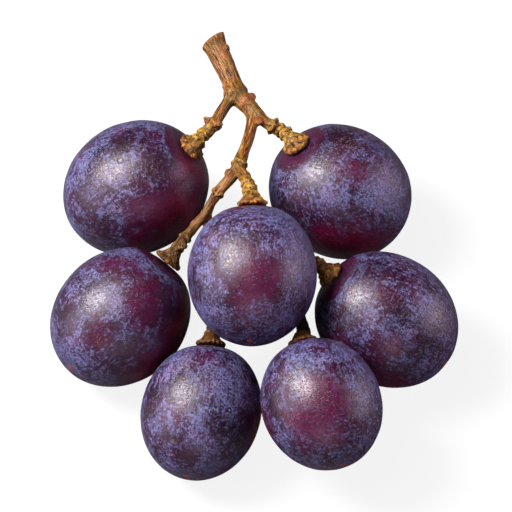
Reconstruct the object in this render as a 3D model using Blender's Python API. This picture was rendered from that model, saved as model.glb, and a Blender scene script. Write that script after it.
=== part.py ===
import math
from collections import namedtuple

import bmesh
import bpy
from mathutils import Vector, noise

MM = 0.001

# Berry shape, in millimetres and degrees
FLAT_DEPTH = 0.2            # how much of a resting berry is flattened
DIMPLE_DEPTH = 1.1          # where the stem goes in
DIMPLE_RADIUS = 3.7
RIPPLE = 0.12
RIPPLE_SIZE = 11.0
MERIDIANS = 24
LATITUDES = (5, 10, 15, 20, 26, 34, 43, 53, 63, 73, 83, 93, 103, 113, 123, 133, 143, 153, 163, 172)

# Stem shape, in millimetres
SIDES = 12
STEP = 0.68
TURN_SPREAD = 1.3           # over what length a branch's rings share its turns
GRAIN_HEIGHT = 0.10
WART_HEIGHT = 0.34
WART_SIZE = 1.15
LEAST_WARTINESS = 0.12

# Flange at the end of a berry's stalk: (distance from its face, radius), in millimetres
FLANGE = ((0.0, 2.45), (0.3, 2.75), (0.7, 2.6), (1.05, 2.1), (1.6, 1.7), (2.6, 1.3))
FLANGE_RINGS = (1.45, 1.05, 0.7, 0.3, 0.0)
FLANGE_LENGTH = 1.8         # the part with its own close rings
FLANGE_DEPTH = 0.5          # how deep its face sits in the berry's dimple
FLANGE_LEAD = 1.2           # the stalk's straight end
FLANGE_TURN = (0.7, 4.5)    # between these its rings turn from the face's plane to the stalk's own
FLANGE_WAVE = 0.13          # wavy rim
FLANGE_BEND = 0.9           # how far the stalk's bend reaches past the straight end
STALK_RADII = (1.05, 1.15, 1.3, 1.4)  # along the bend and the straight end

# The stem's own end is cut aslant, further out towards +X
CUT_SLANT = 0.28
CUT_LENGTH = 3.0            # how far along the stem its rings lean, in millimetres

# Berries: centre, half length, half width, long axis, direction of the stem end
BERRIES = {
    "berry_top_left": ((-21.7, 16.4, 12.1), 13.8, 12.1, (0.89, 0.29, 0.37), (0.76, 0.27, 0.60)),
    "berry_top_right": ((15.6, 15.6, 12.1), 13.4, 12.2, (-0.89, 0.31, 0.34), (-0.62, 0.34, 0.70)),
    "berry_middle": ((-0.4, -7.4, 22.2), 12.7, 11.4, (0.05, 0.96, 0.27), (0.0, 0.94, 0.34)),
    "berry_left": ((-23.8, -10.2, 11.7), 13.3, 11.7, (0.72, 0.60, 0.35), (0.66, 0.64, 0.44)),
    "berry_right": ((23.4, -10.8, 11.8), 13.4, 11.7, (-0.82, 0.39, 0.43), (-0.76, 0.40, 0.52)),
    "berry_lower_left": ((-9.3, -28.3, 10.5), 12.3, 10.5, (0.27, 0.92, 0.29), (0.13, 0.97, 0.22)),
    "berry_lower_right": ((11.5, -29.8, 16.6), 11.8, 10.4, (-0.36, 0.90, 0.24), (-0.27, 0.95, 0.10)),
}
RESTING = ("berry_top_left", "berry_top_right", "berry_left", "berry_right", "berry_lower_left")

# Branches: points along the middle line, radius at each point, rings as (share of the length,
# height, half width), how warty the far part is, and the berry whose flange ends the branch
BRANCHES = {
    "peduncle": (
        [(-7.7, 41.2, 23.7), (-6.8, 39.1, 23.2), (-5.75, 36.8, 22.8), (-4.85, 34.6, 22.5), (-4.0, 32.5, 22.3),
         (-3.4, 30.2, 22.2), (-2.7, 28.9, 22.1)],
        [2.35, 2.05, 1.95, 1.85, 1.8, 2.4, 1.7],
        [(0.02, 0.14, 0.5)], 0.0, None),
    "to_top_left": (
        [(-4.0, 29.7, 22.2), (-5.2, 27.9, 22.2), (-6.4, 25.7, 22.1), (-7.6, 23.5, 21.8), (-9.2, 22.2, 21.2)],
        [1.4, 1.1, 1.08, 1.2, 1.25],
        [(0.5, 0.22, 0.4), (0.72, 0.2, 0.4)], 1.0, "berry_top_left"),
    "to_top_right": (
        [(-3.4, 30.4, 22.2), (-2.0, 28.7, 22.1), (-0.7, 27.3, 22.0), (0.5, 25.9, 22.0), (1.9, 24.4, 22.0),
         (3.4, 23.6, 21.7), (5.2, 22.6, 21.3)],
        [2.0, 1.7, 1.6, 1.35, 1.1, 1.1, 1.2],
        [(0.6, 0.6, 0.32), (0.78, 0.5, 0.3)], 0.7, "berry_top_right"),
    "shoulder": (
        [(-0.8, 27.0, 22.0), (-0.4, 25.0, 22.1), (-0.7, 22.5, 22.3), (-1.2, 20.0, 22.6), (-1.9, 17.5, 23.1),
         (-2.5, 15.0, 23.8), (-3.0, 12.8, 24.3)],
        [1.3, 1.1, 1.05, 1.08, 1.05, 1.2, 1.3],
        [(0.93, 0.12, 0.5)], 0.1, None),
    "to_middle": (
        [(-2.9, 13.0, 24.3), (-1.9, 10.9, 25.2), (-1.2, 8.9, 26.0), (-0.8, 6.9, 26.6)],
        [1.15, 1.05, 1.05, 1.2],
        [(0.3, 0.25, 0.4), (0.58, 0.35, 0.35)], 0.9, "berry_middle"),
    "to_left": (
        [(-3.0, 13.0, 24.3), (-4.2, 11.3, 23.9), (-6.2, 9.3, 22.8), (-7.9, 7.3, 21.2), (-9.1, 5.5, 20.2),
         (-10.7, 3.8, 19.7), (-12.1, 2.0, 19.3), (-13.4, 0.2, 19.0)],
        [1.2, 1.1, 1.05, 0.88, 0.98, 0.9, 0.9, 1.05],
        [(0.27, 0.2, 0.35), (0.74, 0.25, 0.35)], 0.9, "berry_left"),
    "inner": (
        [(-7.8, 7.8, 20.9), (-8.6, 7.2, 16.6), (-6.6, 4.0, 12.0), (-3.6, -1.5, 9.0), (0.5, -7.5, 8.0)],
        [0.9, 1.05, 1.15, 1.2, 1.4],
        [(0.3, 0.2, 0.4)], 0.2, None),
    "to_right": (
        [(-1.6, -4.6, 8.3), (3.0, -4.6, 8.8), (7.0, -2.4, 11.4), (9.8, -1.7, 14.4), (11.2, -2.4, 16.9)],
        [1.2, 1.1, 1.1, 1.15, 1.2],
        [(0.35, 0.2, 0.4), (0.72, 0.3, 0.35)], 0.9, "berry_right"),
    "to_lower_left": (
        [(1.0, -7.2, 7.9), (-3.5, -9.2, 8.6), (-6.7, -11.0, 10.6), (-7.6, -13.9, 12.6)],
        [1.3, 1.15, 1.0, 1.0],
        [(0.35, 0.2, 0.4), (0.7, 0.25, 0.35)], 0.9, "berry_lower_left"),
    "to_lower_right": (
        [(0.0, -7.0, 8.1), (4.8, -7.6, 8.7), (7.5, -9.0, 10.4), (8.3, -11.4, 12.2), (8.6, -13.9, 13.7),
         (8.5, -16.1, 15.4)],
        [1.3, 1.1, 1.05, 1.05, 1.1, 1.15],
        [(0.35, 0.2, 0.4), (0.7, 0.25, 0.35)], 0.9, "berry_lower_right"),
}

# Knobs: centre and radius of buds, scars and knuckles
KNOBS = [
    ((-5.3, 38.9, 24.2), 0.9),
    ((-6.0, 37.8, 24.2), 0.6),
    ((-0.5, 29.6, 22.4), 0.8),
    ((-1.5, 28.4, 23.3), 0.7),
    ((-2.1, 27.4, 23.0), 0.6),
    ((-8.6, 24.5, 22.4), 0.7),
    ((-6.5, 23.6, 22.6), 0.7),
    ((-4.5, 11.8, 24.7), 0.9),
    ((0.9, 23.9, 22.8), 0.8),
    ((-12.4, -0.2, 19.5), 0.6),
    ((-5.4, 31.7, 22.6), 0.6),
]

Berry = namedtuple("Berry", "centre half_length half_width axis stem")


def clear_scene():
    for obj in list(bpy.data.objects):
        bpy.data.objects.remove(obj, do_unlink=True)


def make_material(name, color, roughness):
    material = bpy.data.materials.new(name)
    material.use_nodes = True
    shader = material.node_tree.nodes["Principled BSDF"]
    shader.inputs["Base Color"].default_value = (*color, 1.0)
    shader.inputs["Roughness"].default_value = roughness
    material.diffuse_color = (*color, 1.0)
    return material


def make_object(name, bm, material):
    bmesh.ops.recalc_face_normals(bm, faces=bm.faces)
    mesh = bpy.data.meshes.new(name)
    bm.to_mesh(mesh)
    bm.free()
    for polygon in mesh.polygons:
        polygon.use_smooth = True
    mesh.materials.append(material)
    obj = bpy.data.objects.new(name, mesh)
    bpy.context.scene.collection.objects.link(obj)
    return obj


def support_height(half_length, half_width, axis):
    return math.sqrt(half_width ** 2 + (half_length ** 2 - half_width ** 2) * axis.z ** 2)


def berry_values(name):
    centre, half_length, half_width, axis, stem = BERRIES[name]
    centre, axis, stem = Vector(centre), Vector(axis).normalized(), Vector(stem).normalized()
    if name in RESTING:
        centre.z = support_height(half_length, half_width, axis) - FLAT_DEPTH
    return Berry(centre, half_length, half_width, axis, stem)


def egg_radius(berry, direction):
    along = direction.dot(berry.axis)
    return 1.0 / math.sqrt(along ** 2 / berry.half_length ** 2 + (1.0 - along ** 2) / berry.half_width ** 2)


def seat_normal(berry):
    """Outward normal of the berry's skin where the stem meets it."""
    stretch = 1.0 / berry.half_length ** 2 - 1.0 / berry.half_width ** 2
    lengthwise = berry.axis * (berry.stem.dot(berry.axis) * stretch)
    return (berry.stem / berry.half_width ** 2 + lengthwise).normalized()


def berry_point(berry, direction):
    radius = egg_radius(berry, direction)
    radius += RIPPLE * noise.noise((berry.centre + direction * radius) / RIPPLE_SIZE)
    cosine = direction.dot(berry.stem)
    if cosine > 0.0:
        off_axis = radius * math.sqrt(max(0.0, 1.0 - cosine ** 2))
        radius -= DIMPLE_DEPTH * math.exp(-(off_axis / DIMPLE_RADIUS) ** 2)
    return berry.centre + direction * radius


def make_berry(name, material):
    berry = berry_values(name)
    stem = berry.stem
    side = stem.cross(Vector((0.0, 0.0, 1.0))).normalized()
    up = side.cross(stem)
    bm = bmesh.new()
    top = bm.verts.new(berry_point(berry, stem) * MM)
    bottom = bm.verts.new(berry_point(berry, -stem) * MM)
    rings = []
    for latitude in LATITUDES:
        polar = math.radians(latitude)
        ring = []
        for index in range(MERIDIANS):
            turn = 2.0 * math.pi * index / MERIDIANS
            around = side * math.cos(turn) + up * math.sin(turn)
            direction = stem * math.cos(polar) + around * math.sin(polar)
            ring.append(bm.verts.new(berry_point(berry, direction) * MM))
        rings.append(ring)
    for index in range(MERIDIANS):
        after = (index + 1) % MERIDIANS
        bm.faces.new((top, rings[0][index], rings[0][after]))
        bm.faces.new((bottom, rings[-1][after], rings[-1][index]))
        for upper, lower in zip(rings, rings[1:]):
            bm.faces.new((upper[index], lower[index], lower[after], upper[after]))
    if name in RESTING:
        cut_flat(bm)
    return make_object(name, bm, material)


def cut_flat(bm):
    """Flatten what would reach below the surface that the bunch lies on."""
    geometry = bm.verts[:] + bm.edges[:] + bm.faces[:]
    cut = bmesh.ops.bisect_plane(
        bm, geom=geometry, dist=1e-6, plane_co=(0, 0, 0), plane_no=(0, 0, 1), clear_inner=True)
    edges = [item for item in cut["geom_cut"] if isinstance(item, bmesh.types.BMEdge)]
    bmesh.ops.contextual_create(bm, geom=edges)


def smooth_path(points, radii):
    """Even stations along a smooth curve through the points, with a radius at each."""
    points = [Vector(point) for point in points]
    padded = [points[0] * 2.0 - points[1]] + points + [points[-1] * 2.0 - points[-2]]
    fine = []
    for index in range(len(points) - 1):
        a, b, c, d = padded[index:index + 4]
        count = max(4, int((c - b).length / 0.1))
        for part in range(count):
            t = part / count
            place = 0.5 * (2.0 * b + (c - a) * t + (2.0 * a - 5.0 * b + 4.0 * c - d) * t ** 2
                           + (3.0 * b - a - 3.0 * c + d) * t ** 3)
            ease = t * t * (3.0 - 2.0 * t)
            fine.append((place, radii[index] * (1.0 - ease) + radii[index + 1] * ease))
    fine.append((points[-1], radii[-1]))
    lengths = [0.0]
    for before, after in zip(fine, fine[1:]):
        lengths.append(lengths[-1] + (after[0] - before[0]).length)
    return fine, lengths


def station(fine, lengths, distance):
    for index in range(len(lengths) - 1):
        if lengths[index + 1] >= distance:
            share = (distance - lengths[index]) / (lengths[index + 1] - lengths[index])
            before, after = fine[index], fine[index + 1]
            return before[0].lerp(after[0], share), before[1] + (after[1] - before[1]) * share
    return fine[-1]


def flange_radius(from_face):
    """Radius of the flare that ends in the flange, or zero past its length."""
    for (low, near), (high, far) in zip(FLANGE, FLANGE[1:]):
        if from_face <= high:
            share = (from_face - low) / (high - low)
            return near + (far - near) * share
    return 0.0


def branch_rings(total, flanged):
    """Distances of the rings along a branch, closer together in its flange."""
    plain_length = total - FLANGE_LENGTH if flanged else total
    count = max(2, round(plain_length / STEP))
    distances = [plain_length * index / count for index in range(count + 1)]
    if flanged:
        distances += [total - from_face for from_face in FLANGE_RINGS]
    return distances


def ring_directions(places, distances):
    """Which way each ring faces, evened out so that no two rings cross in a bend."""
    steps = []
    for index in range(len(places)):
        before = places[max(0, index - 1)][0]
        after = places[min(len(places) - 1, index + 1)][0]
        steps.append(after - before)
    directions = []
    for distance in distances:
        total = Vector()
        for step, other in zip(steps, distances):
            total += step * math.exp(-((other - distance) / TURN_SPREAD) ** 2)
        directions.append(total.normalized())
    return directions


def bark_reach(spot, around, middle, wartiness):
    """How far the bark stands out at a spot: fine grain along the branch, and warts."""
    lumps = noise.noise(spot / WART_SIZE) + 0.5 * noise.noise(spot * 2.3 / WART_SIZE)
    grain = noise.noise(around * 3.1 + middle * 0.12)
    return GRAIN_HEIGHT * grain + WART_HEIGHT * lumps * max(wartiness, LEAST_WARTINESS)


def make_branch(name, material):
    points, radii, rings, wartiness, berry_name = BRANCHES[name]
    points, radii = list(points), list(radii)
    if berry_name:
        berry = berry_values(berry_name)
        normal = seat_normal(berry)
        face = berry.centre + berry.stem * egg_radius(berry, berry.stem) - normal * FLANGE_DEPTH
        lead = face + normal * FLANGE_LEAD
        onward = (Vector(points[-1]) - lead).normalized()
        points += [lead + (normal + onward).normalized() * FLANGE_BEND, lead, lead.lerp(face, 0.5), face]
        radii += STALK_RADII
    fine, lengths = smooth_path(points, radii)
    total = lengths[-1]
    distances = branch_rings(total, bool(berry_name))
    places = [station(fine, lengths, distance) for distance in distances]
    directions = ring_directions(places, distances)
    bm = bmesh.new()
    loops = []
    side = None
    for index, (middle, radius) in enumerate(places):
        tangent = directions[index]
        distance = distances[index]
        from_face = total - distance
        if berry_name:
            turned = (from_face - FLANGE_TURN[0]) / (FLANGE_TURN[1] - FLANGE_TURN[0])
            turned = min(1.0, max(0.0, turned))
            tangent = (-normal).lerp(tangent, turned * turned * (3.0 - 2.0 * turned)).normalized()
        if side is None:
            side = tangent.orthogonal().normalized()
        side = (side - tangent * side.dot(tangent)).normalized()
        other = tangent.cross(side)
        for where, height, width in rings:
            radius += height * math.exp(-((distance - where * total) / width) ** 2)
        flange = 0.0
        if berry_name:
            radius = max(radius, flange_radius(from_face))
            flange = math.exp(-(from_face / 0.9) ** 2)
        warty = wartiness * min(1.0, max(0.0, (distance / total - 0.35) / 0.25)) * (1.0 - flange)
        loop = []
        for step in range(SIDES):
            turn = 2.0 * math.pi * step / SIDES
            around = side * math.cos(turn) + other * math.sin(turn)
            wave = math.sin(5.0 * turn + len(name)) + 0.7 * math.sin(3.0 * turn + radius)
            reach = radius + bark_reach(middle + around * radius, around, middle, warty)
            reach += FLANGE_WAVE * wave * flange
            spot = middle + around * reach
            if name == "peduncle":
                lean = CUT_SLANT * max(0.0, 1.0 - distance / CUT_LENGTH)
                spot -= tangent * (lean * around.x * reach)
            loop.append(bm.verts.new(spot * MM))
        loops.append(loop)
    for lower, upper in zip(loops, loops[1:]):
        for step in range(SIDES):
            after = (step + 1) % SIDES
            bm.faces.new((lower[step], lower[after], upper[after], upper[step]))
    bm.faces.new(reversed(loops[0]))
    bm.faces.new(loops[-1])
    return make_object(name, bm, material)


def make_knob(index, centre, radius, material):
    bm = bmesh.new()
    bmesh.ops.create_icosphere(bm, subdivisions=2, radius=radius * MM)
    for vert in bm.verts:
        direction = vert.co.normalized()
        lump = 1.0 + 0.16 * noise.noise(direction * 1.6 + Vector((index * 3.7, 0.0, 0.0)))
        vert.co = Vector(centre) * MM + vert.co * lump
    return make_object("knob_%d" % index, bm, material)


def make_stem(material):
    stem = make_branch("peduncle", material)
    stem.name = "stem"
    stem.data.name = "stem"
    group = bpy.data.collections.new("stem_pieces")
    bpy.context.scene.collection.children.link(group)
    pieces = [make_branch(name, material) for name in BRANCHES if name != "peduncle"]
    pieces += [make_knob(index, *knob, material) for index, knob in enumerate(KNOBS)]
    for piece in pieces:
        bpy.context.scene.collection.objects.unlink(piece)
        group.objects.link(piece)
    union = stem.modifiers.new("union", "BOOLEAN")
    union.operation = "UNION"
    union.operand_type = "COLLECTION"
    union.collection = group
    union.solver = "EXACT"
    bpy.context.view_layer.objects.active = stem
    bpy.ops.object.modifier_apply(modifier=union.name)
    for piece in pieces:
        bpy.data.objects.remove(piece, do_unlink=True)
    bpy.data.collections.remove(group)
    for polygon in stem.data.polygons:
        polygon.use_smooth = True
    return stem


def centre_on_origin(objects):
    """Move every vertex so that the bunch's bounding box stands centred on the origin."""
    spots = [vert.co for obj in objects for vert in obj.data.vertices]
    low = Vector([min(spot[k] for spot in spots) for k in range(3)])
    high = Vector([max(spot[k] for spot in spots) for k in range(3)])
    shift = Vector((-(low.x + high.x) / 2.0, -(low.y + high.y) / 2.0, -low.z))
    for obj in objects:
        for vert in obj.data.vertices:
            vert.co += shift


clear_scene()
skin = make_material("skin", (0.075, 0.022, 0.055), 0.4)
bark = make_material("bark", (0.30, 0.17, 0.06), 0.6)
objects = [make_berry(name, skin) for name in BERRIES]
objects.append(make_stem(bark))
centre_on_origin(objects)
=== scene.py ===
import math

import bmesh
import bpy
import numpy as np
from mathutils import Matrix, Vector, noise
from mathutils.bvhtree import BVHTree


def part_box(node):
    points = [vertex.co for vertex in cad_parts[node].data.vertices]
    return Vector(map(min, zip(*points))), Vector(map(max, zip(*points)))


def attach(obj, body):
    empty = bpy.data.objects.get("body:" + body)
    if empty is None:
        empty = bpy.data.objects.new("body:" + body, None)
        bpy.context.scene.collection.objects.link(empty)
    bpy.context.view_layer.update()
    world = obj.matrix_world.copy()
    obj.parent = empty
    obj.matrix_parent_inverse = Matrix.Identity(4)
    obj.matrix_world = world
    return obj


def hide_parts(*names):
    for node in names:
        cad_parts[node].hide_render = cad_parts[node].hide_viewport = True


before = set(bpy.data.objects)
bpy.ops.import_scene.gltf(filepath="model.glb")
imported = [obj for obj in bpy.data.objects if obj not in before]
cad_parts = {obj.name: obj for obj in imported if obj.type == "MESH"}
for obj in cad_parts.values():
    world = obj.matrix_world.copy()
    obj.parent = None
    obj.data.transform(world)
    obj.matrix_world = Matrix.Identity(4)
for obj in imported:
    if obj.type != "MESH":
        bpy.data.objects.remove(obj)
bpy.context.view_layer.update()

mm = 0.001
scene = bpy.context.scene
print("frame loaded:", sorted(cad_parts))


# small shader helpers
def addNode(tree, kind, **settings):
    node = tree.nodes.new(kind)
    for key, value in settings.items():
        setattr(node, key, value)
    return node


def feed(tree, source, target):
    # source is a socket, a number or a colour
    if isinstance(source, bpy.types.NodeSocket):
        tree.links.new(source, target)
    elif isinstance(source, (tuple, list)) and target.type == "RGBA":
        target.default_value = (*source[:3], 1.0)
    else:
        target.default_value = source


def maths(tree, operation, a, b=0.5, c=0.5, clamp=False):
    node = addNode(tree, "ShaderNodeMath", operation=operation, use_clamp=clamp)
    for socket, value in zip(node.inputs, (a, b, c)):
        feed(tree, value, socket)
    return node.outputs[0]


def vecMaths(tree, operation, a, b=(0.0, 0.0, 0.0)):
    node = addNode(tree, "ShaderNodeVectorMath", operation=operation)
    feed(tree, a, node.inputs[0])
    feed(tree, b, node.inputs[1])
    return node.outputs["Value" if operation in ("DOT_PRODUCT", "DISTANCE") else "Vector"]


def scaled(tree, vector, factors):
    return vecMaths(tree, "MULTIPLY", vector, factors)


def weighted(tree, start, *parts):
    # start, plus each mask's distance from one half times its weight
    total = start
    for mask, weight in parts:
        shifted = maths(tree, "MULTIPLY_ADD", mask, weight, -0.5 * weight)
        total = maths(tree, "ADD", total, shifted)
    return total


def fbm(tree, vector, scale, detail=4.0, roughness=0.6, distortion=0.0):
    node = addNode(tree, "ShaderNodeTexNoise")
    feed(tree, vector, node.inputs["Vector"])
    node.inputs["Scale"].default_value = scale
    node.inputs["Detail"].default_value = detail
    node.inputs["Roughness"].default_value = roughness
    node.inputs["Distortion"].default_value = distortion
    return node.outputs[0]


def cells(tree, vector, scale, randomness=1.0):
    node = addNode(tree, "ShaderNodeTexVoronoi", feature="F1")
    feed(tree, vector, node.inputs["Vector"])
    node.inputs["Scale"].default_value = scale
    node.inputs["Randomness"].default_value = randomness
    return node.outputs["Distance"]


def ramp(tree, value, low, high, outLow=0.0, outHigh=1.0):
    node = addNode(tree, "ShaderNodeMapRange", interpolation_type="SMOOTHSTEP")
    for socket, item in zip(node.inputs, (value, low, high, outLow, outHigh)):
        feed(tree, item, socket)
    return node.outputs[0]


def blendColor(tree, share, a, b, blend="MIX"):
    node = addNode(tree, "ShaderNodeMix", data_type="RGBA", blend_type=blend)
    feed(tree, share, node.inputs["Factor"])
    feed(tree, a, node.inputs[6])
    feed(tree, b, node.inputs[7])
    return node.outputs[2]


def newGroup(name, inputs, outputs):
    group = bpy.data.node_groups.new(name, "ShaderNodeTree")
    for socketName, kind, value in inputs:
        socket = group.interface.new_socket(name=socketName, in_out="INPUT", socket_type=kind)
        if value is not None:
            socket.default_value = value
    for socketName, kind in outputs:
        group.interface.new_socket(name=socketName, in_out="OUTPUT", socket_type=kind)
    given = addNode(group, "NodeGroupInput").outputs
    return group, given, addNode(group, "NodeGroupOutput").inputs


def useGroup(tree, group, **values):
    node = addNode(tree, "ShaderNodeGroup", node_tree=group)
    for key, value in values.items():
        feed(tree, value, node.inputs[key])
    return node.outputs


def newMaterial(name):
    material = bpy.data.materials.new(name)
    material.use_nodes = True
    tree = material.node_tree
    shader = tree.nodes["Principled BSDF"]
    return material, tree, shader


# effects that several materials share
def buildPowderBloom():
    # wax bloom in clouds, patches, mottles and flecks, with strokes where fingers and leaves brushed it
    group, given, out = newGroup("powderBloom", [
        ("Place", "NodeSocketVector", None),
        ("Seed", "NodeSocketFloat", 0.0),
        ("Cover", "NodeSocketFloat", 0.5),
        ("Thin", "NodeSocketFloat", 0.0),
        ("Thick", "NodeSocketFloat", 0.0),
    ], [("Bloom", "NodeSocketFloat"), ("Film", "NodeSocketFloat"), ("Specks", "NodeSocketFloat"),
        ("Grit", "NodeSocketFloat")])
    shift = vecMaths(group, "MULTIPLY", (13.1, 7.7, 5.3), given["Seed"])
    place = vecMaths(group, "ADD", given["Place"], shift)
    cloud = fbm(group, place, 0.12, 2.0, 0.5)
    patch = fbm(group, place, 0.42, 4.0, 0.62, 0.7)
    mottle = fbm(group, place, 1.15, 5.0, 0.75, 0.5)
    fleck = fbm(group, place, 2.7, 3.0, 0.75, 0.3)
    lengthwise = fbm(group, scaled(group, place, (2.4, 2.4, 0.30)), 1.0, 3.0, 0.6, 0.3)
    slanting = fbm(group, scaled(group, place, (0.45, 1.6, 2.6)), 1.0, 3.0, 0.6, 0.3)
    level = weighted(group, given["Cover"], (cloud, 2.0), (patch, 3.2), (mottle, 2.7), (fleck, 1.9),
                     (lengthwise, 3.3), (slanting, 1.9))
    level = maths(group, "SUBTRACT", level, maths(group, "MULTIPLY", given["Thin"], 0.65))
    level = maths(group, "ADD", level, maths(group, "MULTIPLY", given["Thick"], 0.45))
    grain = ramp(group, fleck, 0.45, 0.55, 0.10, 1.0)
    # some of the bloom lies smooth, the rest is speckled
    smooth = fbm(group, vecMaths(group, "ADD", place, (2.0, 31.0, 8.0)), 0.34, 3.0, 0.6)
    grain = maths(group, "MAXIMUM", grain, ramp(group, smooth, 0.46, 0.64, 0.0, 0.72))
    bloom = maths(group, "MULTIPLY", ramp(group, level, 0.08, 1.0), grain)
    worn = maths(group, "MULTIPLY_ADD", given["Thin"], -0.80, 1.0)
    film = weighted(group, given["Cover"], (cloud, 1.2), (patch, 1.0))
    film = maths(group, "SUBTRACT", film, maths(group, "MULTIPLY", given["Thin"], 0.8))
    feed(group, ramp(group, film, 0.1, 0.9), out["Film"])
    # thin strokes where the bloom is rubbed off, or piled up beside them
    rubbed = fbm(group, scaled(group, place, (1.0, 1.3, 0.6)), 0.62, 5.0, 0.66, 1.1)
    rubbed = ramp(group, maths(group, "ABSOLUTE", maths(group, "SUBTRACT", rubbed, 0.5)), 0.030, 0.006)
    piledPlace = vecMaths(group, "ADD", scaled(group, place, (0.7, 1.5, 1.1)), (5.0, 21.0, 2.0))
    piled = fbm(group, piledPlace, 0.70, 5.0, 0.7, 0.9)
    piled = ramp(group, maths(group, "ABSOLUTE", maths(group, "SUBTRACT", piled, 0.5)), 0.028, 0.004)
    bloom = maths(group, "MULTIPLY", bloom, maths(group, "MULTIPLY_ADD", rubbed, -0.75, 1.0))
    piled = maths(group, "MULTIPLY", piled, ramp(group, level, -0.1, 0.6))
    bloom = maths(group, "MULTIPLY_ADD", piled, 0.40, bloom)
    feed(group, maths(group, "MULTIPLY", bloom, worn), out["Bloom"])
    specks = fbm(group, vecMaths(group, "ADD", place, (40.0, 3.0, 9.0)), 1.9, 4.0, 0.8, 0.4)
    feed(group, ramp(group, specks, 0.53, 0.60), out["Specks"])
    feed(group, fbm(group, place, 3.6, 3.0, 0.75), out["Grit"])
    return group


def buildPores():
    # tiny pale lenticels scattered on the skin
    group, given, out = newGroup("skinPores", [
        ("Place", "NodeSocketVector", None),
        ("Seed", "NodeSocketFloat", 0.0),
        ("Size", "NodeSocketFloat", 0.12),
    ], [("Pores", "NodeSocketFloat")])
    shift = vecMaths(group, "MULTIPLY", (3.1, 17.7, 11.3), given["Seed"])
    place = vecMaths(group, "ADD", given["Place"], shift)
    distance = cells(group, place, 0.62)
    dot = ramp(group, distance, given["Size"], maths(group, "MULTIPLY", given["Size"], 0.45))
    some = ramp(group, fbm(group, place, 0.2, 2.0), 0.48, 0.6)
    feed(group, maths(group, "MULTIPLY", dot, some), out["Pores"])
    return group


def buildWoodyFibre():
    # fibres that run along a branch, with dark splits between some
    group, given, out = newGroup("woodyFibre", [
        ("Along Branch", "NodeSocketVector", None),
    ], [("Fibre", "NodeSocketFloat"), ("Splits", "NodeSocketFloat")])
    stretched = scaled(group, given["Along Branch"], (1.0, 1.0, 0.14))
    feed(group, fbm(group, stretched, 2.6, 6.0, 0.65), out["Fibre"])
    splits = fbm(group, vecMaths(group, "ADD", stretched, (9.0, 4.0, 2.0)), 1.7, 5.0, 0.7)
    feed(group, ramp(group, splits, 0.57, 0.66), out["Splits"])
    return group


powderBloom = buildPowderBloom()
skinPores = buildPores()
woodyFibre = buildWoodyFibre()
print("shared effects built")


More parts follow.
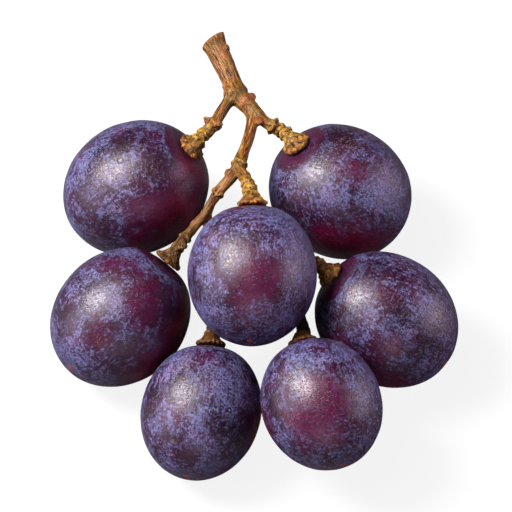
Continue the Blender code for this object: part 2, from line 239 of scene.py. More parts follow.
# All directions start at the berry's middle. Each patch is a direction, how wide it is and how strong.
# wine: rubbed down to red skin. glow: painted glow, light shining through the deep red undersides. bare:
# worn to dark skin. thick: heavy bloom.
# tan: fine dry scratches. ring: a small round mark, as a direction and its radius in mm.
berryLook = {
    "berry_top_left": dict(
        stem=(0.76, 0.27, 0.60), blossom=(-0.73, -0.45, -0.45), seed=1.0, cover=0.46,
        wine=[((0.46, -0.76, 0.46), 0.60, 1.0), ((0.23, -0.97, 0.03), 0.50, 0.9),
              ((0.86, -0.20, 0.47), 0.42, 0.9)],
        glow=[((0.73, -0.63, 0.27), 0.42, 1.0), ((0.45, -0.88, -0.16), 0.60, 1.0),
              ((0.86, 0.05, 0.50), 0.34, 1.0)],
        bare=[((-0.38, -0.29, 0.88), 0.28, 0.8),
              ((0.31, -0.20, 0.93), 0.32, 0.8), ((0.25, -0.51, 0.82), 0.28, 0.6),
              ((-0.06, 0.31, 0.95), 0.30, 0.7),
              ((-0.70, -0.41, 0.59), 0.30, 0.6), ((-0.41, -0.87, 0.25), 0.35, 0.4)],
        thick=[((0.08, 0.57, 0.82), 0.40, 0.8), ((0.55, 0.37, 0.75), 0.30, 0.7),
               ((0.79, -0.51, 0.35), 0.25, 0.3)],
        tan=[((-0.26, -0.74, 0.62), 0.12, 1.0)], ring=((-0.19, -0.11, 0.98), 0.55)),
    "berry_top_right": dict(
        stem=(-0.62, 0.34, 0.70), blossom=(0.80, -0.40, -0.40), seed=2.3, cover=0.50,
        wine=[((0.19, -0.22, 0.96), 0.28, 0.9), ((-0.16, -0.98, -0.05), 0.50, 0.9),
              ((0.41, -0.91, 0.02), 0.45, 0.8)],
        glow=[((-0.09, -0.99, -0.10), 0.50, 1.0), ((0.16, -0.99, -0.02), 0.50, 1.0)],
        bare=[((-0.37, -0.20, 0.91), 0.28, 0.8),
              ((-0.03, 0.28, 0.96), 0.36, 0.7), ((-0.74, -0.60, 0.32), 0.32, 0.8),
              ((0.64, 0.27, 0.72), 0.30, 0.5),
              ((0.04, -0.87, 0.48), 0.30, 0.6)],
        thick=[((-0.18, -0.50, 0.85), 0.38, 0.8), ((0.43, -0.46, 0.78), 0.35, 0.8),
               ((-0.40, 0.20, 0.90), 0.25, 0.7)],
        tan=[((0.10, 0.22, 0.97), 0.24, 0.8)], ring=None),
    "berry_middle": dict(
        stem=(0.0, 0.94, 0.34), blossom=(-0.03, -0.99, -0.13), seed=3.1, cover=0.56,
        wine=[((0.08, -0.63, 0.77), 0.46, 1.0), ((0.28, -0.42, 0.86), 0.36, 1.0),
              ((-0.03, -0.20, 0.98), 0.28, 0.5)],
        glow=[((-0.20, -0.05, -0.98), 0.60, 0.6)],
        bare=[((-0.35, -0.14, 0.93), 0.28, 0.8),
              ((-0.86, -0.39, 0.34), 0.26, 0.8), ((-0.31, -0.93, 0.19), 0.28, 0.7),
              ((0.66, -0.66, 0.37), 0.25, 0.3)],
        thick=[((-0.68, -0.72, 0.14), 0.35, 0.9), ((0.25, -0.93, 0.26), 0.35, 0.7),
               ((-0.30, 0.60, 0.74), 0.40, 0.5),
               ((0.60, 0.45, 0.66), 0.35, 0.6)],
        tan=[((-0.58, 0.25, 0.77), 0.20, 1.0)], ring=None),
    "berry_left": dict(
        stem=(0.66, 0.64, 0.44), blossom=(-0.66, -0.74, -0.09), seed=4.7, cover=0.46,
        wine=[((0.40, -0.22, 0.89), 0.45, 0.9), ((-0.05, 0.39, 0.92), 0.28, 0.7),
              ((-0.25, -0.68, 0.68), 0.30, 0.6),
              ((0.70, -0.66, 0.25), 0.42, 0.9)],
        glow=[((0.89, -0.42, 0.19), 0.36, 0.9), ((0.95, 0.01, 0.31), 0.30, 0.9),
              ((0.61, -0.79, -0.08), 0.55, 1.0)],
        bare=[((-0.32, -0.26, 0.91), 0.28, 0.8),
              ((0.74, -0.24, 0.63), 0.34, 0.7), ((0.03, -0.93, 0.37), 0.36, 0.7),
              ((-0.75, -0.34, 0.57), 0.30, 0.7)],
        thick=[((0.29, 0.53, 0.79), 0.34, 0.8), ((-0.18, -0.39, 0.90), 0.26, 0.6),
               ((-0.50, 0.15, 0.85), 0.24, 0.5)],
        tan=[((-0.25, -0.72, 0.64), 0.10, 1.0)], ring=None),
    "berry_right": dict(
        stem=(-0.76, 0.40, 0.52), blossom=(0.79, -0.59, -0.19), seed=5.2, cover=0.47,
        wine=[((-0.07, -0.14, 0.99), 0.24, 0.5), ((0.00, -0.83, 0.56), 0.26, 0.5)],
        glow=[((-0.75, -0.60, -0.10), 0.50, 0.8), ((-0.10, -0.95, -0.25), 0.50, 0.6)],
        bare=[((-0.41, -0.11, 0.90), 0.28, 0.8),
              ((-0.20, 0.27, 0.94), 0.34, 0.8), ((0.07, -0.36, 0.93), 0.26, 0.8),
              ((-0.61, -0.35, 0.70), 0.30, 0.6),
              ((0.44, -0.67, 0.59), 0.36, 0.8), ((-0.27, -0.96, 0.02), 0.45, 0.6)],
        thick=[((0.45, -0.16, 0.88), 0.34, 0.7), ((-0.57, 0.45, 0.69), 0.30, 0.7),
               ((0.65, 0.45, 0.60), 0.40, 0.6)],
        tan=[((0.02, -0.80, 0.60), 0.10, 0.8)], ring=None),
    "berry_lower_left": dict(
        stem=(0.13, 0.97, 0.22), blossom=(-0.21, -0.97, -0.15), seed=6.6, cover=0.54,
        wine=[((-0.40, -0.48, 0.78), 0.20, 0.6), ((0.00, 0.50, 0.87), 0.24, 0.4)],
        glow=[((0.90, -0.20, -0.05), 0.45, 0.8), ((0.20, -0.90, -0.40), 0.40, 0.5)],
        bare=[((-0.31, -0.18, 0.93), 0.28, 0.8),
              ((-0.36, -0.80, 0.47), 0.34, 0.8), ((-0.75, -0.10, 0.66), 0.26, 0.6),
              ((0.24, -0.62, 0.74), 0.24, 0.5),
              ((0.72, -0.55, 0.41), 0.36, 0.5)],
        thick=[((-0.08, -0.69, 0.72), 0.28, 0.9), ((0.40, -0.05, 0.92), 0.36, 0.9),
               ((-0.45, 0.55, 0.70), 0.36, 0.6)],
        tan=[((-0.30, 0.45, 0.84), 0.20, 0.9),
             ((-0.40, -0.76, 0.51), 0.08, 1.0)], ring=((0.49, -0.35, 0.80), 0.42)),
    "berry_lower_right": dict(
        stem=(-0.27, 0.95, 0.10), blossom=(0.33, -0.93, -0.15), seed=7.9, cover=0.47,
        wine=[((0.03, -0.41, 0.91), 0.56, 1.0), ((-0.13, -0.67, 0.73), 0.46, 1.0),
              ((0.20, -0.52, 0.83), 0.34, 0.8)],
        glow=[((-0.90, -0.30, -0.10), 0.45, 0.3), ((0.20, -0.85, -0.45), 0.40, 0.5)],
        bare=[((-0.42, -0.10, 0.90), 0.28, 0.8),
              ((-0.85, -0.20, 0.49), 0.28, 0.8), ((0.20, 0.19, 0.96), 0.24, 0.6),
              ((-0.36, -0.85, 0.39), 0.32, 0.5),
              ((0.45, -0.60, 0.66), 0.28, 0.5)],
        thick=[((-0.35, 0.40, 0.85), 0.34, 0.8), ((0.61, -0.02, 0.79), 0.36, 0.8),
               ((0.15, -0.83, 0.54), 0.26, 0.8)],
        tan=[((-0.62, 0.05, 0.78), 0.12, 0.7)], ring=None),
}

skinPlan = dict(
    cellsAcross=60,    # faces along one side of each of the six patches
    smoothing=30,
    dentDepth=0.25,                          # mm, at the blossom end
    dentWidth=1.5,
    scarHeight=0.22,                         # the dry button left by the flower
    scarWidth=0.5,
    scarColor=(0.230, 0.045, 0.012),
    ripple=0.05,
    darkSkin=(0.0095, 0.0014, 0.0075),
    plumSkin=(0.032, 0.0036, 0.021),
    wineSkin=(0.070, 0.0014, 0.0250),
    # painted glow: the red of light shining through the skin on the undersides
    paintedGlowSkin=(0.125, 0.0018, 0.022),
    filmColor=(0.037, 0.018, 0.054),
    blueBloom=(0.107, 0.115, 0.256),
    lilacBloom=(0.142, 0.114, 0.248),
    tanScratch=(0.22, 0.13, 0.08),
    poreColor=(0.34, 0.28, 0.30),
    roughness=0.28,
    shine=0.50,
    shineTint=(1.0, 0.91, 0.98),
    relief=0.52,
    reliefDepth=0.11,                        # mm
    softness=0.10,                           # how much light goes under the skin
    softDepth=2.0,                           # mm
    softTint=(1.0, 0.25, 0.35),
    ringReach=12.2,                          # mm from the middle to the skin, at a ring mark
    scarReach=12.0,                          # and at the scar
    ringWidth=0.24,
)


def cubeBall(side):
    # a ball of even squares, so that no pole shows in the light
    bm = bmesh.new()
    bmesh.ops.create_cube(bm, size=2.0)
    bmesh.ops.subdivide_edges(bm, edges=bm.edges, cuts=side - 1, use_grid_fill=True)
    for vert in bm.verts:
        even = Vector([math.tan(axis * math.pi / 4.0) for axis in vert.co])
        vert.co = even.normalized()
    bm.verts.ensure_lookup_table()
    return bm


def settle(values, edges, rounds):
    # evens a value out over the mesh, a little more each round
    counts = np.bincount(edges.ravel(), minlength=len(values)).astype(float)
    for _ in range(rounds):
        total = np.bincount(edges[:, 0], weights=values[edges[:, 1]], minlength=len(values))
        total += np.bincount(edges[:, 1], weights=values[edges[:, 0]], minlength=len(values))
        values = 0.45 * values + 0.55 * total / counts
    return values


def growBerry(nodeName, look):
    low, high = (Vector(corner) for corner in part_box(nodeName))
    centre = (low + high) / 2.0
    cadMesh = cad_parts[nodeName].data
    corners = [vert.co for vert in cadMesh.vertices]
    tree = BVHTree.FromPolygons(corners, [tuple(face.vertices) for face in cadMesh.polygons])
    zAxis = Vector(look["stem"]).normalized()
    xAxis = zAxis.cross(Vector((0.0, 0.0, 1.0))).normalized()
    turn = Matrix((xAxis, zAxis.cross(xAxis), zAxis)).transposed()
    bm = cubeBall(skinPlan["cellsAcross"])
    directions = [turn @ vert.co for vert in bm.verts]
    rippleShift = Vector((look["seed"] * 9.0, 0.0, 0.0))
    radii = np.array([(tree.ray_cast(centre, d)[0] - centre).length for d in directions])
    edges = np.array([[v.index for v in edge.verts] for edge in bm.edges])
    radii = settle(radii, edges, skinPlan["smoothing"])
    blossom = Vector(look["blossom"]).normalized()
    for vert, direction, radius in zip(bm.verts, directions, radii):
        away = (direction - blossom).length * radius / mm
        radius -= skinPlan["dentDepth"] * mm * math.exp(-(away / skinPlan["dentWidth"]) ** 2)
        radius += skinPlan["scarHeight"] * mm * math.exp(-(away / skinPlan["scarWidth"]) ** 4)
        radius += skinPlan["ripple"] * mm * noise.noise(direction * 4.0 + rippleShift)
        spot = centre + direction * radius
        spot.z = max(spot.z, low.z)
        vert.co = spot - centre
    bmesh.ops.recalc_face_normals(bm, faces=bm.faces)
    mesh = bpy.data.meshes.new(nodeName + "_skin")
    bm.to_mesh(mesh)
    bm.free()
    mesh.polygons.foreach_set("use_smooth", [True] * len(mesh.polygons))
    berry = bpy.data.objects.new(nodeName + "_skin", mesh)
    berry.location = centre
    scene.collection.objects.link(berry)
    return berry, turn


def patchMask(tree, patches, turn, outward, edge, start=0.0):
    # the strongest of the patches, each fading out over an uneven edge
    mask = start
    for direction, width, strength in patches:
        local = turn.transposed() @ Vector(direction).normalized()
        gap = maths(tree, "ADD", vecMaths(tree, "DISTANCE", outward, tuple(local)), edge)
        mask = maths(tree, "MAXIMUM", mask, ramp(tree, gap, width * 1.35, width * 0.35, 0.0, strength))
    return mask


def skinMaterial(name, look, turn):
    material, tree, shader = newMaterial(name)
    plan = skinPlan
    coords = addNode(tree, "ShaderNodeTexCoord")
    # mm from the berry's middle, turned so that Z points at its stem
    turned = addNode(tree, "ShaderNodeCombineXYZ")
    for axis in range(3):
        side = tuple(turn.col[axis] / mm)
        feed(tree, vecMaths(tree, "DOT_PRODUCT", coords.outputs["Object"], side), turned.inputs[axis])
    place = turned.outputs[0]
    outward = vecMaths(tree, "NORMALIZE", place)
    wander = fbm(tree, place, 0.24, 5.0, 0.62)
    crumble = fbm(tree, place, 1.5, 4.0, 0.7)
    edge = weighted(tree, 0.0, (wander, 1.1), (crumble, 0.55))
    wine = patchMask(tree, look["wine"], turn, outward, edge)
    bare = patchMask(tree, look["bare"], turn, outward, edge)
    thick = patchMask(tree, look["thick"], turn, outward, edge)
    # painted glow: patches on the undersides where light shining through the skin is painted in, with less
    # bloom there
    glow = patchMask(tree, look["glow"], turn, outward, maths(tree, "MULTIPLY", edge, 0.5))
    # the skin right round the flange carries hardly any bloom
    split = addNode(tree, "ShaderNodeSeparateXYZ")
    feed(tree, outward, split.inputs[0])
    collar = ramp(tree, weighted(tree, split.outputs["Z"], (wander, 0.10), (crumble, 0.04)), 0.895, 0.925)
    thin = maths(tree, "MAXIMUM", maths(tree, "MAXIMUM", wine, maths(tree, "MULTIPLY", bare, 0.8)), collar)
    thin = maths(tree, "MAXIMUM", thin, glow)
    bloom = useGroup(tree, powderBloom, Place=place, Seed=look["seed"], Cover=look["cover"],
                     Thin=thin, Thick=thick)
    pores = useGroup(tree, skinPores, Place=place, Seed=look["seed"])["Pores"]
    under = ramp(tree, weighted(tree, fbm(tree, place, 0.18, 3.0, 0.55), (crumble, 0.6)), 0.36, 0.64)
    under = maths(tree, "MULTIPLY", under, maths(tree, "SUBTRACT", 1.0, maths(tree, "MULTIPLY", bare, 0.7)))
    base = blendColor(tree, under, plan["darkSkin"], plan["plumSkin"])
    blush = ramp(tree, fbm(tree, place, 1.9, 5.0, 0.78), 0.36, 0.60, 0.15, 1.0)
    wineShare = maths(tree, "MAXIMUM", wine, maths(tree, "MULTIPLY", collar, 0.35))
    base = blendColor(tree, maths(tree, "MULTIPLY", wineShare, blush), base, plan["wineSkin"])
    # paint in the glow of light shining through the skin
    base = blendColor(tree, maths(tree, "MULTIPLY", glow, 0.9), base, plan["paintedGlowSkin"])
    color = blendColor(tree, maths(tree, "MULTIPLY", bloom["Film"], 0.33), base, plan["filmColor"])
    tone = blendColor(tree, ramp(tree, wander, 0.50, 0.70), plan["blueBloom"], plan["lilacBloom"])
    color = blendColor(tree, maths(tree, "MULTIPLY", bloom["Bloom"], 0.92), color, tone)
    color = blendColor(tree, maths(tree, "MULTIPLY", bloom["Specks"], 0.82), color, plan["darkSkin"])
    dry = patchMask(tree, look["tan"], turn, outward, maths(tree, "MULTIPLY", edge, 0.5))
    scratches = fbm(tree, scaled(tree, place, (2.6, 1.2, 2.0)), 1.6, 3.0, 0.7)
    dry = maths(tree, "MULTIPLY", dry, ramp(tree, scratches, 0.56, 0.64))
    color = blendColor(tree, dry, color, plan["tanScratch"])
    color = blendColor(tree, maths(tree, "MULTIPLY", pores, 0.3), color, plan["poreColor"])
    if look["ring"]:
        direction, radius = look["ring"]
        local = turn.transposed() @ Vector(direction).normalized()
        gap = maths(tree, "MULTIPLY", vecMaths(tree, "DISTANCE", outward, tuple(local)), plan["ringReach"])
        inside = ramp(tree, gap, radius * 0.8, radius * 0.3)
        gap = maths(tree, "ABSOLUTE", maths(tree, "SUBTRACT", gap, radius))
        mark = ramp(tree, gap, plan["ringWidth"], plan["ringWidth"] / 4.0)
        color = blendColor(tree, maths(tree, "MULTIPLY", inside, 0.4), color, plan["poreColor"])
        color = blendColor(tree, maths(tree, "MULTIPLY", mark, 0.92), color, plan["darkSkin"])
    local = turn.transposed() @ Vector(look["blossom"]).normalized()
    gap = maths(tree, "MULTIPLY", vecMaths(tree, "DISTANCE", outward, tuple(local)), plan["scarReach"])
    scar = ramp(tree, weighted(tree, gap, (crumble, 0.9)), plan["scarWidth"] * 1.5, plan["scarWidth"] * 0.9)
    color = blendColor(tree, maths(tree, "MULTIPLY", scar, 0.9), color, plan["scarColor"])
    feed(tree, color, shader.inputs["Base Color"])
    rough = weighted(tree, plan["roughness"], (wander, 0.06), (bloom["Grit"], 0.04))
    rough = maths(tree, "ADD", rough, maths(tree, "MULTIPLY", bloom["Bloom"], 0.11))
    rough = maths(tree, "ADD", rough, maths(tree, "MULTIPLY", bloom["Film"], 0.05))
    feed(tree, rough, shader.inputs["Roughness"])
    bump = addNode(tree, "ShaderNodeBump")
    bump.inputs["Strength"].default_value = plan["relief"]
    bump.inputs["Distance"].default_value = plan["reliefDepth"] * mm
    height = maths(tree, "MULTIPLY", bloom["Grit"], 0.9)
    height = maths(tree, "ADD", maths(tree, "MULTIPLY", bloom["Bloom"], 0.30), height)
    height = maths(tree, "SUBTRACT", height, maths(tree, "MULTIPLY", bloom["Specks"], 0.25))
    height = maths(tree, "ADD", height, maths(tree, "MULTIPLY", pores, 0.8))
    if look["ring"]:
        height = maths(tree, "SUBTRACT", height, maths(tree, "MULTIPLY", mark, 0.8))
    feed(tree, height, bump.inputs["Height"])
    feed(tree, bump.outputs[0], shader.inputs["Normal"])
    shader.inputs["Specular IOR Level"].default_value = plan["shine"]
    shader.inputs["Specular Tint"].default_value = (*plan["shineTint"], 1.0)
    shader.inputs["Subsurface Weight"].default_value = plan["softness"]
    shader.inputs["Subsurface Radius"].default_value = plan["softTint"]
    shader.inputs["Subsurface Scale"].default_value = plan["softDepth"] * mm
    return material


for nodeName, look in berryLook.items():
    berry, turn = growBerry(nodeName, look)
    berry.data.materials.append(skinMaterial(nodeName + "_bloom", look, turn))
    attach(berry, "root")
    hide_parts(nodeName)
print("berries grown")


barkPlan = dict(
    voxel=0.156,     # mm
    smoothing=7,
    wartyReach=9.0,                          # mm from a flange's face
    wartyFade=5.0,
    ridge=0.05,                              # heights, mm
    wart=0.16,
    lump=0.10,
    ring=0.24,
    groove=0.14,
    crimp=0.07,
    tan=(0.225, 0.083, 0.012),
    # pale fibre streaks: paler grain with painted highlights on it
    pale=(0.470, 0.270, 0.120),
    brown=(0.036, 0.006, 0.0008),
    olive=(0.105, 0.050, 0.004),
    gold=(0.400, 0.205, 0.022),
    moss=(0.098, 0.056, 0.003),
    # dark reddish crust between the lumps, darkened further as painted shade
    crustAndShade=(0.040, 0.008, 0.0010),
    rust=(0.230, 0.056, 0.016),
    # painted shade for the hollows, grooves and splits
    recessShade=(0.008, 0.002, 0.001),
    cutWood=(0.20, 0.095, 0.030),
    # painted shade on the wood between the bottom berries
    shade=(0.048, 0.013, 0.003),
    shine=0.42,
    shineTint=(1.0, 0.80, 0.62),
    relief=0.9,
    reliefDepth=0.30,                        # mm
)

# middle lines of the branches, mm, each from its root to its far end
branchLines = {
    "peduncle": [(-7.7, 40.5, 23.7), (-6.8, 38.4, 23.2), (-5.7, 36.1, 22.8), (-4.8, 33.9, 22.5),
                 (-4.0, 31.8, 22.3), (-3.4, 29.5, 22.2)],
    "toTopLeft": [(-4.0, 29.0, 22.2), (-5.2, 27.2, 22.2), (-6.4, 25.0, 22.1), (-7.6, 22.8, 21.8),
                  (-9.2, 21.5, 21.2), (-10.8, 19.5, 20.8), (-11.7, 19.2, 20.0)],
    "toTopRight": [(-3.4, 29.7, 22.2), (-2.0, 28.0, 22.1), (-0.7, 26.6, 22.0), (0.5, 25.2, 22.0),
                   (1.9, 23.7, 22.0), (3.4, 22.9, 21.7), (5.2, 21.9, 21.3), (7.1, 19.6, 21.9),
                   (7.7, 19.2, 21.0)],
    "shoulder": [(-0.8, 26.3, 22.0), (-0.4, 24.3, 22.1), (-0.7, 21.8, 22.3), (-1.2, 19.3, 22.6),
                 (-1.9, 16.8, 23.1), (-2.5, 14.3, 23.8), (-3.0, 12.1, 24.3)],
    "toMiddle": [(-2.9, 12.3, 24.3), (-1.9, 10.2, 25.2), (-1.2, 8.2, 26.0), (-0.8, 6.2, 26.6),
                 (-0.4, 4.5, 26.8), (-0.3, 3.3, 26.3)],
    "toLeft": [(-3.0, 12.3, 24.3), (-4.2, 10.6, 23.9), (-6.2, 8.6, 22.8), (-7.9, 6.6, 21.2),
               (-9.1, 4.8, 20.2), (-10.7, 3.1, 19.7), (-12.1, 1.3, 19.3), (-13.4, -0.5, 19.0),
               (-14.7, -2.2, 17.8), (-15.5, -2.9, 17.2)],
    "inner": [(-7.8, 7.1, 20.9), (-8.6, 6.5, 16.6), (-6.6, 3.3, 12.0), (-3.6, -2.2, 9.0),
              (0.5, -8.2, 8.0)],
    "toRight": [(-1.6, -5.3, 8.3), (3.0, -5.3, 8.8), (7.0, -3.1, 11.4), (9.8, -2.4, 14.4),
                (11.2, -3.1, 16.9), (12.8, -5.9, 19.1), (13.7, -6.4, 18.5)],
    "toLowerLeft": [(1.0, -7.9, 7.9), (-3.5, -9.9, 8.6), (-6.7, -11.7, 10.6), (-7.6, -14.6, 12.6),
                    (-7.6, -16.5, 13.3), (-7.7, -17.7, 13.1)],
    "toLowerRight": [(0.0, -7.7, 8.1), (4.8, -8.3, 8.7), (7.5, -9.7, 10.4), (8.3, -12.1, 12.2),
                     (8.6, -14.6, 13.7), (8.5, -16.8, 15.4), (8.2, -18.6, 17.8), (8.5, -19.8, 17.8)],
}
flangedBranches = ("toTopLeft", "toTopRight", "toMiddle", "toLeft", "toRight", "toLowerLeft",
                   "toLowerRight")
# collars: how far along a branch, mm
collarPlaces = {"toTopLeft": (6.6, 9.5, 10.8), "toTopRight": (9.7, 11.3, 12.6), "shoulder": (13.5,),
                "toMiddle": (5.0, 6.6), "toLeft": (5.7, 15.7, 18.0), "toRight": (16.0, 18.4),
                "toLowerLeft": (11.4, 13.5), "toLowerRight": (15.7, 18.4)}
budPlaces = [((-5.3, 38.2, 24.2), 1.2), ((-6.0, 37.1, 24.2), 0.9), ((-0.5, 28.9, 22.4), 1.1),
             ((-1.5, 27.7, 23.3), 1.0), ((-2.1, 26.7, 23.0), 0.9), ((-8.6, 23.8, 22.4), 1.0),
             ((-6.5, 22.9, 22.6), 1.0), ((-4.5, 11.1, 24.7), 1.2), ((0.9, 23.2, 22.8), 1.1),
             ((-12.4, -0.9, 19.5), 0.9), ((-5.4, 31.0, 22.6), 0.9)]
forkPlaces = [((-3.0, 28.8, 22.2), 2.6), ((-3.4, 11.9, 24.4), 1.9), ((-0.2, 25.4, 22.1), 1.6)]


def walkBranch(points, step=0.2, parts=24):
    # even stations on the smooth middle line, each with its two side directions
    points = [Vector(p) for p in points]
    padded = [2 * points[0] - points[1]] + points + [2 * points[-1] - points[-2]]
    fine = []
    for i in range(len(points) - 1):
        a, b, c, d = padded[i:i + 4]
        for part in range(parts):
            t = part / parts
            bend, twist = 2 * a - 5 * b + 4 * c - d, 3 * b - a - 3 * c + d
            fine.append(0.5 * (2 * b + (c - a) * t + bend * t ** 2 + twist * t ** 3))
    fine.append(points[-1])
    along = [0.0]
    for before, after in zip(fine, fine[1:]):
        along.append(along[-1] + (after - before).length)
    stations, distances = [], np.arange(0.0, along[-1], step)
    for axis in range(3):
        stations.append(np.interp(distances, along, [p[axis] for p in fine]))
    spots = np.array(stations).T
    tangents = np.gradient(spots, axis=0)
    tangents /= np.linalg.norm(tangents, axis=1)[:, None]
    sides = []
    side = np.array(Vector(tangents[0]).orthogonal().normalized())
    for tangent in tangents:
        side = side - tangent * side.dot(tangent)
        side /= np.linalg.norm(side)
        sides.append(side)
    return spots, tangents, np.array(sides), distances, along[-1]


def nearestPlaces(spots, blockSize=4000):
    # for each point of the bark: which branch, how far along, and where round it
    names, middles, tangents, sides, distances, totals = [], [], [], [], [], []
    for number, (name, points) in enumerate(branchLines.items()):
        s, t, side, d, total = walkBranch(points)
        names += [number] * len(s)
        middles.append(s)
        tangents.append(t)
        sides.append(side)
        distances.append(d)
        totals += [total] * len(s)
    names, totals = np.array(names), np.array(totals)
    middles, tangents, sides = np.vstack(middles), np.vstack(tangents), np.vstack(sides)
    distances = np.concatenate(distances)
    best = np.empty(len(spots), dtype=int)
    for start in range(0, len(spots), blockSize):
        block = spots[start:start + blockSize]
        gaps = ((block[:, None, :] - middles[None, :, :]) ** 2).sum(-1)
        best[start:start + blockSize] = gaps.argmin(1)
    offset = spots - middles[best]
    forward = (offset * tangents[best]).sum(1)
    others = np.cross(tangents[best], sides[best])
    around = np.stack([(offset * sides[best]).sum(1), (offset * others).sum(1)], 1)
    return names[best], distances[best] + forward, totals[best], around


def meshArrays(mesh):
    spots = np.empty(len(mesh.vertices) * 3)
    mesh.vertices.foreach_get("co", spots)
    normals = np.empty(len(mesh.vertices) * 3)
    mesh.vertices.foreach_get("normal", normals)
    edges = np.empty(len(mesh.edges) * 2, dtype=int)
    mesh.edges.foreach_get("vertices", edges)
    return spots.reshape(-1, 3), normals.reshape(-1, 3), edges.reshape(-1, 2)


def noiseAt(places, size, seed=0.0):
    shift = Vector((seed, seed * 0.7, -seed))
    return np.array([noise.noise(Vector(p) / size + shift) for p in places])


def wartsAt(places, size, seed=0.0):
    # round lumps, about one in every size
    shift = Vector((seed, -seed, seed * 0.3))
    gaps = np.array([noise.voronoi(Vector(p) / size + shift)[0][0] for p in places])
    return np.clip(1.0 - (gaps / 0.42) ** 2, 0.0, 1.0)


def nearness(spots, places, reach):
    # full close to one of the places, none further off than its size times the reach
    near = np.zeros(len(spots))
    for place, size in places:
        gaps = np.linalg.norm(spots - np.array(place), axis=1)
        near = np.maximum(near, np.clip(reach - gaps / size, 0.0, 1.0))
    return near


def growBark():
    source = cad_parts["stem"]
    rough = bpy.data.objects.new("roughStem", source.data.copy())
    scene.collection.objects.link(rough)
    remesh = rough.modifiers.new("remesh", "REMESH")
    remesh.mode = "VOXEL"
    remesh.voxel_size = barkPlan["voxel"] * mm
    bpy.context.view_layer.update()
    mesh = bpy.data.meshes.new_from_object(rough.evaluated_get(bpy.context.evaluated_depsgraph_get()))
    bpy.data.objects.remove(rough, do_unlink=True)
    spots, normals, edges = meshArrays(mesh)
    for axis in range(3):
        spots[:, axis] = settle(spots[:, axis], edges, barkPlan["smoothing"])
    mesh.vertices.foreach_set("co", spots.ravel())
    mesh.update()
    spots, normals, edges = meshArrays(mesh)
    spots = spots / mm
    branch, along, total, around = nearestPlaces(spots)
    branchNames = list(branchLines)
    flanged = np.isin(branch, [branchNames.index(name) for name in flangedBranches])
    farOff = 99.0
    fromFace = np.where(flanged, total - along, farOff)
    radius = np.linalg.norm(around, axis=1)
    turn = np.arctan2(around[:, 1], around[:, 0])
    # how warty: full near a flange, none on plain wood
    warty = np.clip((barkPlan["wartyReach"] - fromFace) / barkPlan["wartyFade"], 0.0, 1.0)
    ring = np.zeros(len(spots))
    groove = np.zeros(len(spots))
    for name, places in collarPlaces.items():
        here = branch == branchNames.index(name)
        for place in places:
            wave = 0.25 * np.sin(turn * 3.0 + place) + 0.12 * np.sin(turn * 7.0 + place * 2.0)
            gap = along - place + wave
            ring += here * np.exp(-(gap / 0.28) ** 2)
            groove += here * np.exp(-((gap - 0.5) / 0.16) ** 2)
    branchPlace = np.stack([around[:, 0], around[:, 1], along * 0.16 + branch * 7.0], 1)
    ridges = noiseAt(branchPlace, 0.42) + 0.5 * noiseAt(branchPlace, 0.2, 3.0)
    warts = wartsAt(spots, 1.45) * 0.8 + wartsAt(spots, 0.75, 5.0) * 0.4
    lumps = noiseAt(spots, 0.9, 8.0)
    rimEdge = np.exp(-((fromFace - 0.45) / 0.4) ** 2) * (radius > 1.9)
    crimp = np.sin(turn * 17.0 + 2.0 * lumps) + 0.8 * np.sin(turn * 9.0 + 5.0 * lumps)
    height = barkPlan["ridge"] * ridges * (1.0 - 0.5 * warty)
    height += barkPlan["wart"] * (warts - 0.25) * warty * (fromFace > 0.2)
    height += barkPlan["lump"] * lumps * warty
    height += barkPlan["ring"] * ring - barkPlan["groove"] * groove
    height += barkPlan["crimp"] * crimp * rimEdge
    # the far side of each flange lies close to its berry, so it stays as it is
    height *= np.clip((fromFace - 0.05) / 0.25, 0.0, 1.0)
    spots = spots + normals * height[:, None]
    mesh.vertices.foreach_set("co", (spots * mm).ravel())
    buds = nearness(spots, budPlaces, 1.3)
    forks = nearness(spots, forkPlaces, 1.5)
    cut = (branch == 0) * np.clip((0.35 - along) / 0.2, 0.0, 1.0)
    values = dict(wartHeight=warts * warty, warty=warty, collar=np.clip(ring, 0, 1),
                  groove=np.clip(groove, 0, 1), rim=np.clip(np.exp(-(fromFace / 0.95) ** 2), 0, 1),
                  bud=buds, fork=forks, cutEnd=cut)
    for name, value in values.items():
        mesh.attributes.new(name, "FLOAT", "POINT").data.foreach_set("value", value.astype(np.float32))
    # the numbers of the branches keep their fibres apart
    alongBranch = np.stack([around[:, 0], around[:, 1], along + branch * 11.0], 1).astype(np.float32)
    vectors = mesh.attributes.new("alongBranch", "FLOAT_VECTOR", "POINT")
    vectors.data.foreach_set("vector", alongBranch.ravel())
    mesh.update()
    mesh.polygons.foreach_set("use_smooth", [True] * len(mesh.polygons))
    mesh.materials.clear()
    bark = bpy.data.objects.new("stem_bark", mesh)
    scene.collection.objects.link(bark)
    return bark


def attribute(tree, name, output="Fac"):
    return addNode(tree, "ShaderNodeAttribute", attribute_name=name).outputs[output]


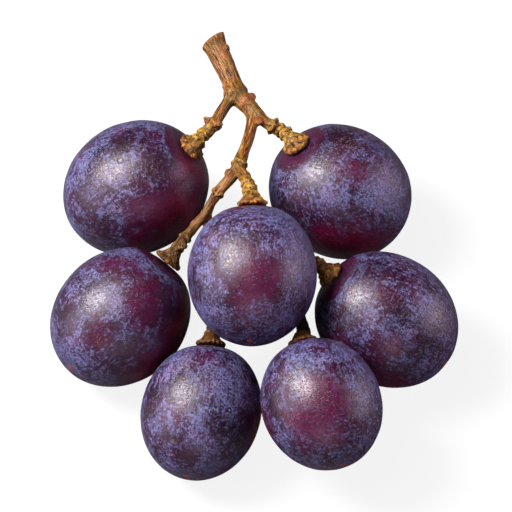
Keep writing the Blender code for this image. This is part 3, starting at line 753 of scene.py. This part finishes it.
def barkMaterial():
    material, tree, shader = newMaterial("grapeBark")
    plan = barkPlan
    coords = addNode(tree, "ShaderNodeTexCoord")
    place = scaled(tree, coords.outputs["Object"], (1.0 / mm,) * 3)
    fibre = useGroup(tree, woodyFibre, **{"Along Branch": attribute(tree, "alongBranch", "Vector")})
    broad = fbm(tree, place, 0.35, 3.0)
    color = blendColor(tree, ramp(tree, fibre["Fibre"], 0.42, 0.57), plan["brown"], plan["tan"])
    # pale streaks on the raised fibres: paler grain and painted highlights
    color = blendColor(tree, ramp(tree, fibre["Fibre"], 0.55, 0.70, 0.0, 0.7), color, plan["pale"])
    oliveShare = maths(tree, "MULTIPLY", ramp(tree, broad, 0.44, 0.62), 0.6)
    color = blendColor(tree, oliveShare, color, plan["olive"])
    color = blendColor(tree, maths(tree, "MULTIPLY", attribute(tree, "fork"), 0.5), color, plan["moss"])
    # lumps near the flanges are golden, with a dark reddish crust between them that is also painted shade
    # in the low ground
    height = maths(tree, "MULTIPLY", attribute(tree, "collar"), 0.8)
    height = maths(tree, "ADD", attribute(tree, "wartHeight"), height)
    height = weighted(tree, height, (fbm(tree, place, 1.1, 4.0, 0.7), 1.9))
    lumpy = blendColor(tree, ramp(tree, height, -0.25, 0.42), plan["crustAndShade"], plan["gold"])
    mossShare = maths(tree, "MULTIPLY", ramp(tree, fbm(tree, place, 0.6, 3.0), 0.50, 0.64), 0.6)
    lumpy = blendColor(tree, mossShare, lumpy, plan["moss"])
    lumpShare = maths(tree, "MULTIPLY", attribute(tree, "collar"), 0.5)
    lumpShare = maths(tree, "MAXIMUM", attribute(tree, "warty"), lumpShare)
    color = blendColor(tree, maths(tree, "MULTIPLY", lumpShare, 0.88), color, lumpy)
    rust = maths(tree, "MAXIMUM", attribute(tree, "bud"), attribute(tree, "rim"))
    rust = maths(tree, "MULTIPLY", rust, ramp(tree, fbm(tree, place, 1.1, 4.0), 0.28, 0.55))
    color = blendColor(tree, maths(tree, "MULTIPLY", rust, 0.9), color, plan["rust"])
    split = addNode(tree, "ShaderNodeSeparateXYZ")
    feed(tree, place, split.inputs[0])
    # painted shade: the wood between the bottom berries is darkened where they shade it
    paintedShadeShare = maths(tree, "MULTIPLY_ADD", split.outputs["X"], 0.8, split.outputs["Y"])
    paintedShadeShare = ramp(tree, weighted(tree, paintedShadeShare, (broad, 6.0)), 6.0, -13.0, 0.0, 0.78)
    color = blendColor(tree, paintedShadeShare, color, plan["shade"])
    # painted shade in the hollows between the warts and in the grooves; the splits are dark cracks with
    # painted shade in them
    hollowShade = maths(tree, "MULTIPLY", attribute(tree, "warty"), 0.6)
    hollowShade = maths(tree, "SUBTRACT", hollowShade, attribute(tree, "wartHeight"))
    hollowShade = maths(tree, "MULTIPLY", hollowShade, ramp(tree, fbm(tree, place, 1.5, 5.0), 0.42, 0.6), clamp=True)
    dark = maths(tree, "MAXIMUM", hollowShade, maths(tree, "MULTIPLY", attribute(tree, "groove"), 0.75))
    dark = maths(tree, "MAXIMUM", dark, maths(tree, "MULTIPLY", fibre["Splits"], 0.85))
    color = blendColor(tree, dark, color, plan["recessShade"])
    cutShare = maths(tree, "MULTIPLY", attribute(tree, "cutEnd"), 0.8)
    color = blendColor(tree, cutShare, color, plan["cutWood"])
    feed(tree, color, shader.inputs["Base Color"])
    feed(tree, ramp(tree, fibre["Fibre"], 0.3, 0.7, 0.34, 0.52), shader.inputs["Roughness"])
    shader.inputs["Specular IOR Level"].default_value = plan["shine"]
    shader.inputs["Specular Tint"].default_value = (*plan["shineTint"], 1.0)
    bump = addNode(tree, "ShaderNodeBump")
    bump.inputs["Strength"].default_value = plan["relief"]
    bump.inputs["Distance"].default_value = plan["reliefDepth"] * mm
    relief = maths(tree, "SUBTRACT", fibre["Fibre"], maths(tree, "MULTIPLY", fibre["Splits"], 0.6))
    feed(tree, relief, bump.inputs["Height"])
    feed(tree, bump.outputs[0], shader.inputs["Normal"])
    return material


bark = growBark()
bark.data.materials.append(barkMaterial())
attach(bark, "root")
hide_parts("stem")
print("stem grown:", len(bark.data.polygons), "faces")


viewPlan = dict(
    lookAt=(0.0003, 0.0014, 0.0120),
    distance=0.450,
    elevation=60.0,        # degrees above the table
    lens=175.8,
    keyPower=7.2, keySize=0.22, keyAway=0.55,
    haloPower=2.3, haloSize=0.75, haloAway=0.62,
    fillPower=2.9, fillSize=0.40, fillAway=0.60,
    leftPower=3.3, leftSize=0.50, leftAway=0.60,
    lowPower=1.3, lowSize=0.50, lowAway=0.60,
    topPower=0.4, topSize=0.8, topAway=0.9,
    white=(1.0, 1.0, 1.0), lilac=(1.0, 0.82, 1.0),
    skyColor=(1.0, 0.90, 1.0), skyStrength=0.05,
    floorColor=(0.065, 0.062, 0.065), floorGlow=0.86,
    floorRoughness=0.8, floorHalf=1.5, floorBelow=2e-5,     # the last two in m
)

lookAt = Vector(viewPlan["lookAt"])
tilt = math.radians(viewPlan["elevation"])
toCamera = Vector((0.0, -math.cos(tilt), math.sin(tilt)))
imageUp = Vector((0.0, math.sin(tilt), math.cos(tilt)))
imageRight = Vector((1.0, 0.0, 0.0))


def aimed(obj, spot, target):
    obj.location = spot
    obj.rotation_euler = (target - spot).to_track_quat("-Z", "Y").to_euler()
    scene.collection.objects.link(obj)


def fromView(offAxis, turnedTo):
    # a direction some degrees off the view line, turned round it from image right
    a, b = math.radians(offAxis), math.radians(turnedTo)
    return toCamera * math.cos(a) + (imageRight * math.cos(b) + imageUp * math.sin(b)) * math.sin(a)


def softLight(name, offAxis, turnedTo, away, size, power, color=(1.0, 1.0, 1.0)):
    light = bpy.data.lights.new(name, "AREA")
    light.shape = "DISK"
    light.size = size
    light.energy = power
    light.color = color
    aimed(bpy.data.objects.new(name, light), lookAt + fromView(offAxis, turnedTo) * away, lookAt)


for part, offAxis, turnedTo, color in (
        ("key", 50.0, 140.0, "white"), ("halo", 50.0, 138.0, "white"), ("fill", 80.0, 12.0, "lilac"),
        ("left", 82.0, 190.0, "lilac"), ("low", 48.0, 270.0, "lilac"), ("top", 20.0, 90.0, "white")):
    softLight(part + "Light", offAxis, turnedTo, viewPlan[part + "Away"], viewPlan[part + "Size"],
              viewPlan[part + "Power"], viewPlan[color])

camera = bpy.data.cameras.new("camera")
camera.lens = viewPlan["lens"]
camera.sensor_width = 36.0
camera.clip_start = 0.01
cameraObject = bpy.data.objects.new("camera", camera)
aimed(cameraObject, lookAt + toCamera * viewPlan["distance"], lookAt)
scene.camera = cameraObject

world = bpy.data.worlds.new("paleStudio")
world.use_nodes = True
sky = world.node_tree.nodes["Background"]
sky.inputs["Color"].default_value = (*viewPlan["skyColor"], 1.0)
sky.inputs["Strength"].default_value = viewPlan["skyStrength"]
scene.world = world
scene.view_settings.view_transform = "Standard"

floorMesh = bpy.data.meshes.new("floor")
half, under = viewPlan["floorHalf"], viewPlan["floorBelow"]
floorCorners = [(-half, -half, -under), (half, -half, -under), (half, half, -under), (-half, half, -under)]
floorMesh.from_pydata(floorCorners, [], [(0, 1, 2, 3)])
floor = bpy.data.objects.new("floor", floorMesh)
scene.collection.objects.link(floor)
floorMaterial, floorTree, floorShader = newMaterial("paleTable")
floorShader.inputs["Base Color"].default_value = (*viewPlan["floorColor"], 1.0)
floorShader.inputs["Roughness"].default_value = viewPlan["floorRoughness"]
floorShader.inputs["Emission Color"].default_value = (1.0, 1.0, 1.0, 1.0)
# the glow is for the eye alone, so that it doesn't light the berries from below
seen = addNode(floorTree, "ShaderNodeLightPath").outputs["Is Camera Ray"]
glow = maths(floorTree, "MULTIPLY", seen, viewPlan["floorGlow"])
feed(floorTree, glow, floorShader.inputs["Emission Strength"])
floorMesh.materials.append(floorMaterial)
print("floor, light and camera set")
